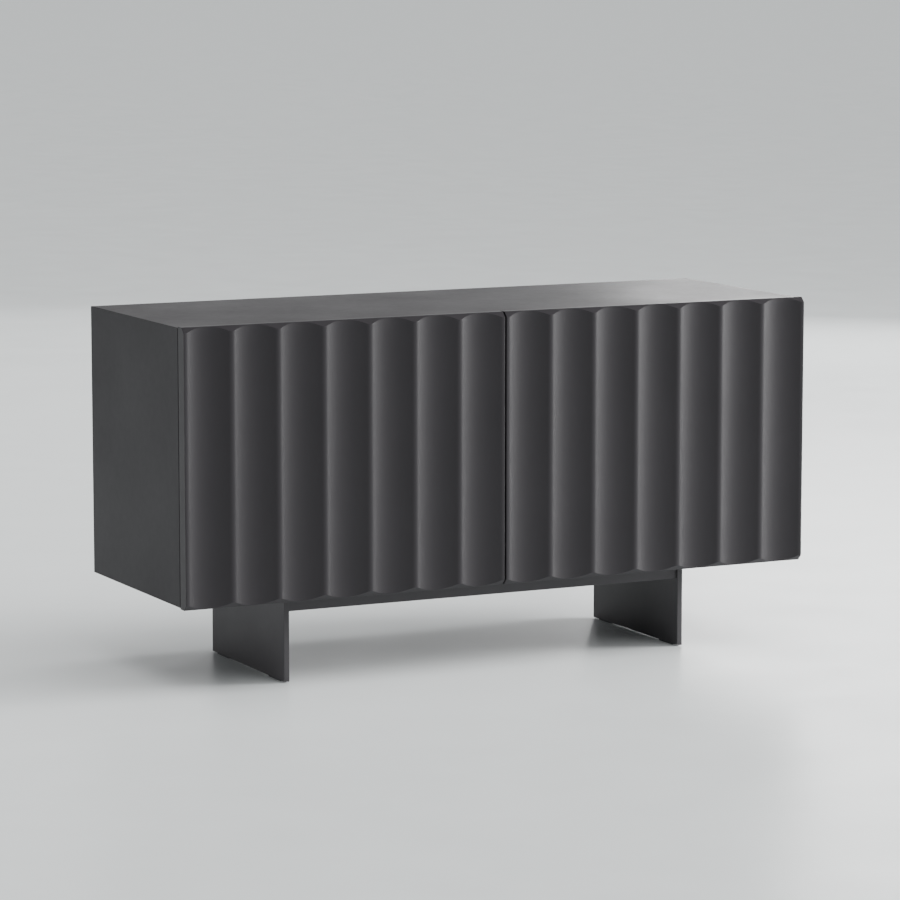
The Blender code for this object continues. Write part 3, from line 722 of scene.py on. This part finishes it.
def screw_head_tree():
    """A domed screw head with a cross recess on every point, along the point's facing."""
    tree, source, given = tree_with_inputs(
        "screw heads", ("Radius", "Height", "Recess Width", "Seed"))
    ball = tree.nodes.new("GeometryNodeMeshUVSphere")
    ball.inputs["Segments"].default_value = SCREW_SEGMENTS
    ball.inputs["Rings"].default_value = SCREW_RINGS
    link(tree, given["Radius"].socket, ball.inputs["Radius"])
    dome = tree.nodes.new("GeometryNodeTransform")
    link(tree, ball.outputs["Mesh"], dome.inputs["Geometry"])
    flatten = as_vector(tree, (1.0, 1.0, given["Height"] / given["Radius"]))
    link(tree, flatten, dome.inputs["Scale"])

    cut = tree.nodes.new("GeometryNodeMeshBoolean")
    cut.operation = "DIFFERENCE"
    link(tree, dome.outputs["Geometry"], cut.inputs["Mesh 1"])
    length = given["Radius"] * RECESS_LENGTH
    width = given["Recess Width"]
    depth = given["Height"] * RECESS_DEPTH
    for sides in ((length, width, depth), (width, length, depth * RECESS_STAGGER)):
        bar = tree.nodes.new("GeometryNodeMeshCube")
        link(tree, as_vector(tree, sides), bar.inputs["Size"])
        link(tree, lifted(tree, bar.outputs["Mesh"], given["Height"]), cut.inputs["Mesh 2"])

    stand_on_points(tree, source, cut.outputs["Mesh"], given["Seed"])
    return tree


def points_facing(name, places):
    """A mesh of points from (point, facing) places."""
    points = bpy.data.meshes.new(name)
    points.from_pydata([point for point, _ in places], [], [])
    facing = points.attributes.new("facing", "FLOAT_VECTOR", "POINT")
    facing.data.foreach_set("vector", [c for _, way in places for c in way])
    return points


screw_heads = screw_head_tree()


def screws(name, places, head, seed, body):
    """Screw heads at (point, facing) places, as one piece of a body."""
    values = {**head, "Seed": float(seed)}
    heads = grown(screw_heads, points_facing(name, places), values, nickel)
    made = piece(name, heads, nickel)
    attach(made, body)


def drawn_cup(hinge, door_back):
    """A cup with its flange, and the two ears that hold the pin."""
    low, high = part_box(hinge + "_cup")
    centre = centre_of(hinge + "_cup")
    radius = (high.x - low.x) / 2
    bore = radius - CUP_WALL
    floor = low.y - door_back
    rim = high.y - door_back
    cup = bmesh.new()
    profile = [
        (0.0, floor), (radius - CUP_CORNER, floor), (radius, floor + CUP_CORNER),
        (radius, rim - RIM_ROLL), (radius - CUP_WALL / 2, rim + RIM_ROLL / 2),
        (bore, rim - RIM_ROLL), (bore, floor + CUP_FILLET),
        (bore - CUP_CORNER, floor + CUP_WALL), (0.0, floor + CUP_WALL),
    ]
    add_turned(
        cup, profile, turned_at((centre.x, door_back, centre.z), -pi / 2, "X"), CUP_STEPS)
    outline = rounded_outline(CUP_FLANGE_WIDTH, high.z - low.z, FLANGE_CORNER)
    seat = (centre.x, high.y - FLANGE_THICKNESS / 2, centre.z)
    add_plate(cup, outline, FLANGE_THICKNESS, turned_at(seat, pi / 2, "X"), bore)
    pin = centre_of(hinge + "_pin")
    pin_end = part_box(hinge + "_pin")[1].z - pin.z
    for end in (-1, 1):
        inner = pin.z + end * EAR_START
        outer = pin.z + end * pin_end
        add_box(
            cup, (pin.x - EAR_HALF, low.y + CUP_WALL / 2, min(inner, outer)),
            (pin.x + EAR_HALF, pin.y + EAR_HALF, max(inner, outer)))
    return cup


def rivet(hinge):
    """The hinge pin, with both ends domed."""
    low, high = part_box(hinge + "_pin")
    centre = centre_of(hinge + "_pin")
    upper = domed((high.x - low.x) / 2, high.z - centre.z, RIVET_DOME)
    lower = [(radius, -height) for radius, height in reversed(upper)]
    pin = bmesh.new()
    add_turned(pin, upper + lower, Matrix.Translation(centre), RIVET_STEPS)
    return pin


def mounting_plate(hinge):
    """The plate with round corners that the arm clips to."""
    low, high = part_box(hinge + "_plate")
    plate = bmesh.new()
    outline = rounded_outline(high.z - low.z, high.y - low.y, PLATE_CORNER)
    turn = turned_at(centre_of(hinge + "_plate"), pi / 2, "Y")
    add_plate(plate, outline, high.x - low.x, turn)
    return plate


for side, sign in (("left", -1), ("right", 1)):
    door_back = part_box(side + "_door")[1].y
    cup_screws, case_screws = [], []
    for level in ("lower", "upper"):
        hinge = f"{side}_{level}_hinge"
        cup = piece(
            hinge + "_drawn_cup", drawn_cup(hinge, door_back), nickel, CUP_EASING, limit=60)
        fit(cup, side + "_door", "nickel_hardware", hinge + "_cup")
        pin = piece(hinge + "_rivet", rivet(hinge), nickel)
        fit(pin, side + "_door", "nickel_hardware", hinge + "_pin")
        arm = piece(hinge + "_bent_arm", clean_copy(hinge + "_arm"), nickel, ARM_EASING)
        fit(arm, "root", "nickel_hardware", hinge + "_arm")
        plate = piece(hinge + "_mounting_plate", mounting_plate(hinge), nickel, PLATE_EASING)
        fit(plate, "root", "nickel_hardware", hinge + "_plate")

        cup_low, cup_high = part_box(hinge + "_cup")
        plate_low, plate_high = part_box(hinge + "_plate")
        arm_low, arm_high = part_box(hinge + "_arm")
        radius = (cup_high.x - cup_low.x) / 2
        half_height = (cup_high.z - cup_low.z) / 2
        for end in (-1, 1):
            cup_screw = centre_of(hinge + "_cup")
            cup_screw.z += end * (radius + (half_height - radius) / 2)
            cup_screw.y = cup_high.y
            cup_screws.append((cup_screw, (0.0, 1.0, 0.0)))
            fixing_screw = centre_of(hinge + "_plate")
            fixing_screw.z += end * FIXING_SCREW_OFFSET
            fixing_screw.x = plate_low.x if sign > 0 else plate_high.x
            case_screws.append((fixing_screw, (-sign, 0.0, 0.0)))
        for share in ARM_SCREW_SHARES:
            arm_screw = Vector((
                arm_low.x if sign > 0 else arm_high.x,
                plate_low.y + (plate_high.y - plate_low.y) * share,
                centre_of(hinge + "_plate").z))
            case_screws.append((arm_screw, (-sign, 0.0, 0.0)))
    screws(side + "_cup_screws", cup_screws, CUP_SCREW, 3, side + "_door")
    screws(side + "_plate_screws", case_screws, PLATE_SCREW, 5, "root")

# ---- Push latches -----------------------------------------------------------------------
# A moulded housing screwed up under the top, with a spring plunger that pushes the door
# open. A small nickel disc on the back of the door takes the plunger's tip.

PLASTIC_COLOUR = (0.030, 0.030, 0.032)
PLASTIC_GLOSS = 0.50
PLASTIC_GRAIN = 0.00045
PLASTIC_RELIEF = 0.00002
LATCH_EASING = 0.0008
ROD_RADIUS = 0.003
ROD_CHAMFER = 0.0003
TIP_THICKNESS = 0.0010
TIP_DOME = 0.0004
COLLAR_BORE = 0.0034
COLLAR_RADIUS = 0.0054
COLLAR_THICKNESS = 0.0009
COLLAR_SUNK = 0.001            # how far the collar reaches into the housing
COLLAR_INNER_CHAMFER = 0.0002
COLLAR_OUTER_CHAMFER = 0.0004
STRIKE_DOME = 0.0003
LATCH_SCREW_SHARES = (0.28, 0.84)             # along the housing, from its front
LATCH_SCREW = {"Radius": 0.0028, "Height": 0.0009, "Recess Width": 0.0007}


def spring_plunger(side):
    """A rod with a wider domed tip at its front end."""
    low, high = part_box(side + "_latch_plunger")
    centre = centre_of(side + "_latch_plunger")
    tip = (high.x - low.x) / 2
    length = high.y - low.y
    profile = domed(tip, 0.0, TIP_DOME) + [
        (tip, -TIP_THICKNESS), (ROD_RADIUS, -TIP_THICKNESS),
        (ROD_RADIUS, ROD_CHAMFER - length), (ROD_RADIUS - ROD_CHAMFER, -length),
        (0.0, -length),
    ]
    plunger = bmesh.new()
    add_turned(plunger, profile, turned_at((centre.x, low.y, centre.z), pi / 2, "X"))
    return plunger


def latch_collar(side):
    """The ring round the plunger on the front of the housing."""
    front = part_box(side + "_latch_housing")[0].y
    centre = centre_of(side + "_latch_plunger")
    profile = [
        (COLLAR_BORE, -COLLAR_SUNK),
        (COLLAR_BORE, COLLAR_THICKNESS - COLLAR_INNER_CHAMFER),
        (COLLAR_BORE + COLLAR_INNER_CHAMFER, COLLAR_THICKNESS),
        (COLLAR_RADIUS - COLLAR_OUTER_CHAMFER, COLLAR_THICKNESS),
        (COLLAR_RADIUS, COLLAR_THICKNESS - COLLAR_OUTER_CHAMFER),
        (COLLAR_RADIUS, -COLLAR_SUNK),
        (COLLAR_BORE, -COLLAR_SUNK),
    ]
    collar = bmesh.new()
    add_turned(collar, profile, turned_at((centre.x, front, centre.z), pi / 2, "X"))
    return collar


def strike_disc(side):
    """The disc on the door that takes the plunger's tip."""
    low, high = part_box(side + "_latch_strike")
    centre = centre_of(side + "_latch_strike")
    radius = (high.x - low.x) / 2
    foot = low.y - centre.y
    profile = domed(radius, high.y - centre.y, STRIKE_DOME) + [(radius, foot), (0.0, foot)]
    strike = bmesh.new()
    add_turned(strike, profile, turned_at(centre, -pi / 2, "X"))
    return strike


plastic = coated(
    "dark_moulded_plastic", PLASTIC_COLOUR, PLASTIC_GLOSS, PLASTIC_GRAIN, PLASTIC_RELIEF,
    shine=0.4)
for side in ("left", "right"):
    housing = piece(
        side + "_latch_case", clean_copy(side + "_latch_housing"), plastic, LATCH_EASING,
        steps=3)
    fit(housing, "root", "dark_plastic", side + "_latch_housing")
    plunger = piece(side + "_spring_plunger", spring_plunger(side), plastic)
    fit(plunger, side + "_plunger", "dark_plastic", side + "_latch_plunger")
    collar = piece(side + "_latch_collar", latch_collar(side), plastic)
    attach(collar, "root")
    strike = piece(side + "_strike_disc", strike_disc(side), nickel)
    fit(strike, side + "_door", "nickel_hardware", side + "_latch_strike")

    low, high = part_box(side + "_latch_housing")
    middle_x = centre_of(side + "_latch_plunger").x
    under = [
        (Vector((middle_x, low.y + (high.y - low.y) * share, low.z)), (0.0, 0.0, -1.0))
        for share in LATCH_SCREW_SHARES]
    screws(side + "_latch_screws", under, LATCH_SCREW, 9, "root")

# ---- Base -------------------------------------------------------------------------------
# Two 10 mm steel plates stand on edge as legs. Two flat rails and two bolting flanges are
# welded between them, and the whole base has one fine powder coat. Thin moulded glides
# under the plates keep the steel off the floor.

POWDER_COLOUR = (0.060, 0.057, 0.061)
POWDER_GLOSS = 0.50
POWDER_GRAIN = 0.0007
POWDER_RELIEF = 0.00003
SCUFF_COLOUR = (0.13, 0.125, 0.12)
SCUFF_HEIGHT = 0.022           # how far up shoes and brooms mark the legs
SCUFF_WIDTH = 0.0022
SCUFF_STRETCH = (1.0, 0.25, 1.0)              # scuffs run along the legs
SCUFF_RANGE = (0.60, 0.72)     # the noise, from no scuff to a full one
SCUFF_STRENGTH = 0.5
LEG_ROUNDING = 0.0009
RAIL_ROUNDING = 0.0007
FLANGE_ROUNDING = 0.0005
GLIDE_ROUNDING = 0.0004


def powder_coat():
    """Fine-grained powder coat, with pale scuffs low on the legs."""
    material = coated(
        "graphite_powder_coat", POWDER_COLOUR, POWDER_GLOSS, POWDER_GRAIN, POWDER_RELIEF,
        shine=0.3)
    tree = material.node_tree
    shader = tree.nodes["Principled BSDF"]
    place = tree.nodes.new("ShaderNodeTexCoord").outputs["Object"]
    parts = tree.nodes.new("ShaderNodeSeparateXYZ")
    link(tree, place, parts.inputs["Vector"])
    near_floor = spread(tree, parts.outputs["Z"], 1.0, 0.0, 0.0, SCUFF_HEIGHT)
    streaks = tree.nodes.new("ShaderNodeMapping")
    streaks.inputs["Scale"].default_value = SCUFF_STRETCH
    link(tree, place, streaks.inputs["Vector"])
    strokes = noise(tree, streaks.outputs["Vector"], SCUFF_WIDTH, 5.0, 2.4)
    scuffs = spread(tree, strokes, 0.0, SCUFF_STRENGTH, *SCUFF_RANGE)
    amount = combine_values(tree, "MULTIPLY", near_floor, scuffs)
    paint = shader.inputs["Base Color"].links[0].from_socket
    scuffed = blend_colours(tree, amount, paint, SCUFF_COLOUR)
    link(tree, scuffed, shader.inputs["Base Color"])
    return material


steel = powder_coat()
for side in ("left", "right"):
    leg_shape = bmesh.new()
    add_box(leg_shape, *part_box(side + "_leg_plate"))
    leg = piece(side + "_leg", leg_shape, steel, LEG_ROUNDING, steps=3)
    fit(leg, "root", "base_steel", side + "_leg_plate")
    flange = piece(
        side + "_bolting_flange", clean_copy(side + "_leg_flange"), steel, FLANGE_ROUNDING)
    fit(flange, "root", "base_steel", side + "_leg_flange")
    for end in ("front", "rear"):
        glide = piece(
            f"{side}_{end}_foot_glide", clean_copy(f"{side}_{end}_glide"), plastic,
            GLIDE_ROUNDING)
        fit(glide, "root", "dark_plastic", f"{side}_{end}_glide")
for rail in ("front", "rear"):
    bar = piece(rail + "_flat_rail", clean_copy(rail + "_rail"), steel, RAIL_ROUNDING, steps=3)
    fit(bar, "root", "base_steel", rail + "_rail")

# ---- Weld beads -------------------------------------------------------------------------
# They run along the flanges and up the rail ends, where nobody sees them from the front.
# Each is a rippled run of weld metal under the powder coat.

BEAD_RADIUS = 0.0017
BEAD_STEP = 0.0009
BEAD_SIDES = 10
RIPPLE_DEPTH = 0.16
RIPPLE_LENGTH = 3.2            # bead steps from one ripple to the next
FLANGE_WELD_MARGIN = 0.004     # bare steel beyond each end of a bead
RAIL_WELD_MARGIN = 0.003


def weld_tree():
    """A rippled round bead along every edge of the mesh."""
    tree, source, given = tree_with_inputs("weld beads", ("Radius", "Step", "Ripple"))
    path = tree.nodes.new("GeometryNodeMeshToCurve")
    link(tree, source.outputs["Geometry"], path.inputs["Mesh"])
    split = tree.nodes.new("GeometryNodeResampleCurve")
    split.mode = "LENGTH"
    link(tree, path.outputs["Curve"], split.inputs["Curve"])
    link(tree, given["Step"].socket, split.inputs["Length"])
    index = Term(tree, tree.nodes.new("GeometryNodeInputIndex").outputs[0])
    ripple = (index * (2 * pi / RIPPLE_LENGTH)).apply("SINE") * given["Ripple"] + 1.0
    round_section = tree.nodes.new("GeometryNodeCurvePrimitiveCircle")
    round_section.inputs["Resolution"].default_value = BEAD_SIDES
    link(tree, given["Radius"].socket, round_section.inputs["Radius"])
    bead = tree.nodes.new("GeometryNodeCurveToMesh")
    bead.inputs["Fill Caps"].default_value = True
    link(tree, split.outputs["Curve"], bead.inputs["Curve"])
    link(tree, round_section.outputs["Curve"], bead.inputs["Profile Curve"])
    link(tree, ripple.socket, bead.inputs["Scale"])
    end_tree(tree, source, bead.outputs["Mesh"])
    return tree


def bead_lines():
    """Start and end points of every bead."""
    lines = []
    for side, sign in (("left", -1), ("right", 1)):
        leg_low, leg_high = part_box(side + "_leg_plate")
        x = leg_high.x if sign < 0 else leg_low.x
        low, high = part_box(side + "_leg_flange")
        lines.append((
            (x, low.y + FLANGE_WELD_MARGIN, low.z), (x, high.y - FLANGE_WELD_MARGIN, low.z)))
        for rail, inner in (("front", 1), ("rear", 0)):
            rail_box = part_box(rail + "_rail")
            y = rail_box[inner].y
            lines.append((
                (x, y, rail_box[0].z + RAIL_WELD_MARGIN),
                (x, y, rail_box[1].z - RAIL_WELD_MARGIN)))
    return lines


points = [point for line in bead_lines() for point in line]
bead_paths = bpy.data.meshes.new("bead_paths")
bead_paths.from_pydata(points, [(i, i + 1) for i in range(0, len(points), 2)], [])
values = {"Radius": BEAD_RADIUS, "Step": BEAD_STEP, "Ripple": RIPPLE_DEPTH}
beads = piece("weld_beads", grown(weld_tree(), bead_paths, values, steel), steel)
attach(beads, "root")

# ---- Bolts and inserts ------------------------------------------------------------------
# Four nickel-plated M6 bolts with washer-faced hexagon heads hold the base up against the
# case. Each screws into a threaded insert in the bottom board, which keeps its frame shape.

WASHER_FACE = 0.0006
WASHER_RADIUS = 0.0058
BOLT_RADIUS = 0.003
BOLT_EASING = 0.00015
HEAD_RADIUS = 0.0056           # to the hexagon's corners
CHAMFER_SHARE = 0.80           # the round flat on the head, as a share of HEAD_RADIUS
CHAMFER_SPREAD = 1.7           # the chamfer's cone at the washer, as a share of HEAD_RADIUS
SHANK_SIDES = 32
WASHER_SIDES = 40
CHAMFER_SIDES = 48


def hex_bolt_tree():
    """A bolt on every point: shank behind it, then washer face and chamfered head."""
    tree, source, given = tree_with_inputs("hex bolts", (
        "Shank Radius", "Shank Length", "Washer Radius", "Washer Face", "Head Radius",
        "Head Height", "Chamfer Share", "Seed"))

    def rod(sides, radius, start, length):
        """An upright bar of the given length, from the height of start."""
        bar = tree.nodes.new("GeometryNodeMeshCylinder")
        bar.inputs["Vertices"].default_value = sides
        link(tree, radius.socket, bar.inputs["Radius"])
        link(tree, length.socket, bar.inputs["Depth"])
        return lifted(tree, bar.outputs["Mesh"], length / 2 + start)

    head_end = given["Head Height"] + given["Washer Face"]
    cone = tree.nodes.new("GeometryNodeMeshCone")
    cone.inputs["Vertices"].default_value = CHAMFER_SIDES
    cone_top = given["Head Radius"] * given["Chamfer Share"]
    link(tree, cone_top.socket, cone.inputs["Radius Top"])
    link(tree, (given["Head Radius"] * CHAMFER_SPREAD).socket, cone.inputs["Radius Bottom"])
    link(tree, head_end.socket, cone.inputs["Depth"])
    head = tree.nodes.new("GeometryNodeMeshBoolean")
    head.operation = "INTERSECT"
    hexagon = rod(6, given["Head Radius"], given["Washer Face"] * 0.5, head_end)
    link(tree, hexagon, head.inputs["Mesh 2"])
    link(tree, cone.outputs["Mesh"], head.inputs["Mesh 2"])

    length = given["Shank Length"]
    shank = rod(SHANK_SIDES, given["Shank Radius"], length * -1, length)
    washer = rod(WASHER_SIDES, given["Washer Radius"], 0.0, given["Washer Face"])
    whole = tree.nodes.new("GeometryNodeJoinGeometry")
    for part in (shank, washer, head.outputs["Mesh"]):
        link(tree, part, whole.inputs["Geometry"])
    stand_on_points(tree, source, whole.outputs["Geometry"], given["Seed"])
    return tree


bolt_nodes = sorted(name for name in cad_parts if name.endswith("_bolt"))
seats = []
for node in bolt_nodes:
    seat = centre_of(node)
    seat.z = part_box(node.split("_")[0] + "_leg_flange")[0].z
    seats.append((seat, (0.0, 0.0, -1.0)))
low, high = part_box(bolt_nodes[0])
seat_z = seats[0][0].z
values = {
    "Shank Radius": BOLT_RADIUS, "Shank Length": high.z - seat_z,
    "Washer Radius": WASHER_RADIUS, "Washer Face": WASHER_FACE, "Head Radius": HEAD_RADIUS,
    "Head Height": seat_z - low.z - WASHER_FACE, "Chamfer Share": CHAMFER_SHARE, "Seed": 2.0,
}
bolts = grown(hex_bolt_tree(), points_facing("bolt_seats", seats), values, nickel)
fit(piece("hex_bolts", bolts, nickel, BOLT_EASING, limit=50), "root", "nickel_hardware",
    *bolt_nodes)

# The only frame nodes still shown are the inserts.
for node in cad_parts.values():
    if not node.hide_render:
        for slot in node.material_slots:
            slot.material = nickel

# ---- Studio -----------------------------------------------------------------------------
# A pale seamless floor, a broad light overhead, a soft key light on the right, and a bright
# panel behind on the right that grazes the top.

FLOOR_HALF = 90.0
FLOOR_COLOUR = (0.80, 0.83, 0.83)
FLOOR_GLOSS = 0.36
FLOOR_GRAIN = 0.004
FLOOR_RELIEF = 0.00001
MIDDLE = (0.0, 0.0, 0.4)

floor_shape = bmesh.new()
bmesh.ops.create_grid(floor_shape, x_segments=8, y_segments=8, size=FLOOR_HALF)
floor_mesh = bpy.data.meshes.new("floor")
floor_shape.to_mesh(floor_mesh)
floor_shape.free()
floor = add_object("floor", floor_mesh)
floor_paint = coated(
    "pale_floor", FLOOR_COLOUR, FLOOR_GLOSS, FLOOR_GRAIN, FLOOR_RELIEF, tint=0.012, shine=0.3)
floor_mesh.materials.append(floor_paint)

world = bpy.data.worlds.new("studio")
bpy.context.scene.world = world
world.use_nodes = True
sky = world.node_tree.nodes["Background"]
sky.inputs["Color"].default_value = (0.95, 0.98, 1.0, 1.0)
sky.inputs["Strength"].default_value = 0.24


def aimed(name, data, place, way):
    """Puts a lamp in the scene, shining along a way."""
    made = add_object(name, data)
    made.location = place
    made.rotation_euler = Vector(way).to_track_quat("-Z", "Y").to_euler()
    return made


def soft_light(name, place, target, size, power):
    """A rectangular lamp that the camera doesn't see."""
    lamp = bpy.data.lights.new(name, "AREA")
    lamp.shape = "RECTANGLE"
    lamp.size, lamp.size_y = size
    lamp.energy = power
    aimed(name, lamp, place, Vector(target) - Vector(place)).visible_camera = False


# The overhead light stays out of reflections, so that the satin edges keep their colour.
overhead = bpy.data.lights.new("overhead", "SUN")
overhead.energy = 3.2
overhead.angle = radians(80)
aimed("overhead", overhead, (0.0, 0.0, 0.0), (-0.25, 0.35, -1.0)).visible_glossy = False

soft_light("key", (5.6, -1.7, 2.0), MIDDLE, (2.0, 2.6), 560)
soft_light("top_glow", (3.9, 4.2, 1.5), (0.3, 0.1, 0.6), (2.2, 1.2), 86)
soft_light("back_wash", (1.5, 6.0, 1.4), (0.0, 0.0, 0.6), (3.6, 1.8), 20)
soft_light("low_fill", (-5.5, 0.7, 0.45), (0.0, 0.0, 0.1), (1.6, 0.5), 55)

camera = bpy.data.cameras.new("camera")
camera.lens = 156.04
camera.sensor_width = 36.0
camera.clip_end = 300.0
viewer = add_object("camera", camera)
viewer.location = (-3.0352, -6.1935, 1.3143)
viewer.rotation_euler = (radians(90 - 7.854), 0.0, radians(-26.09))
bpy.context.scene.camera = viewer
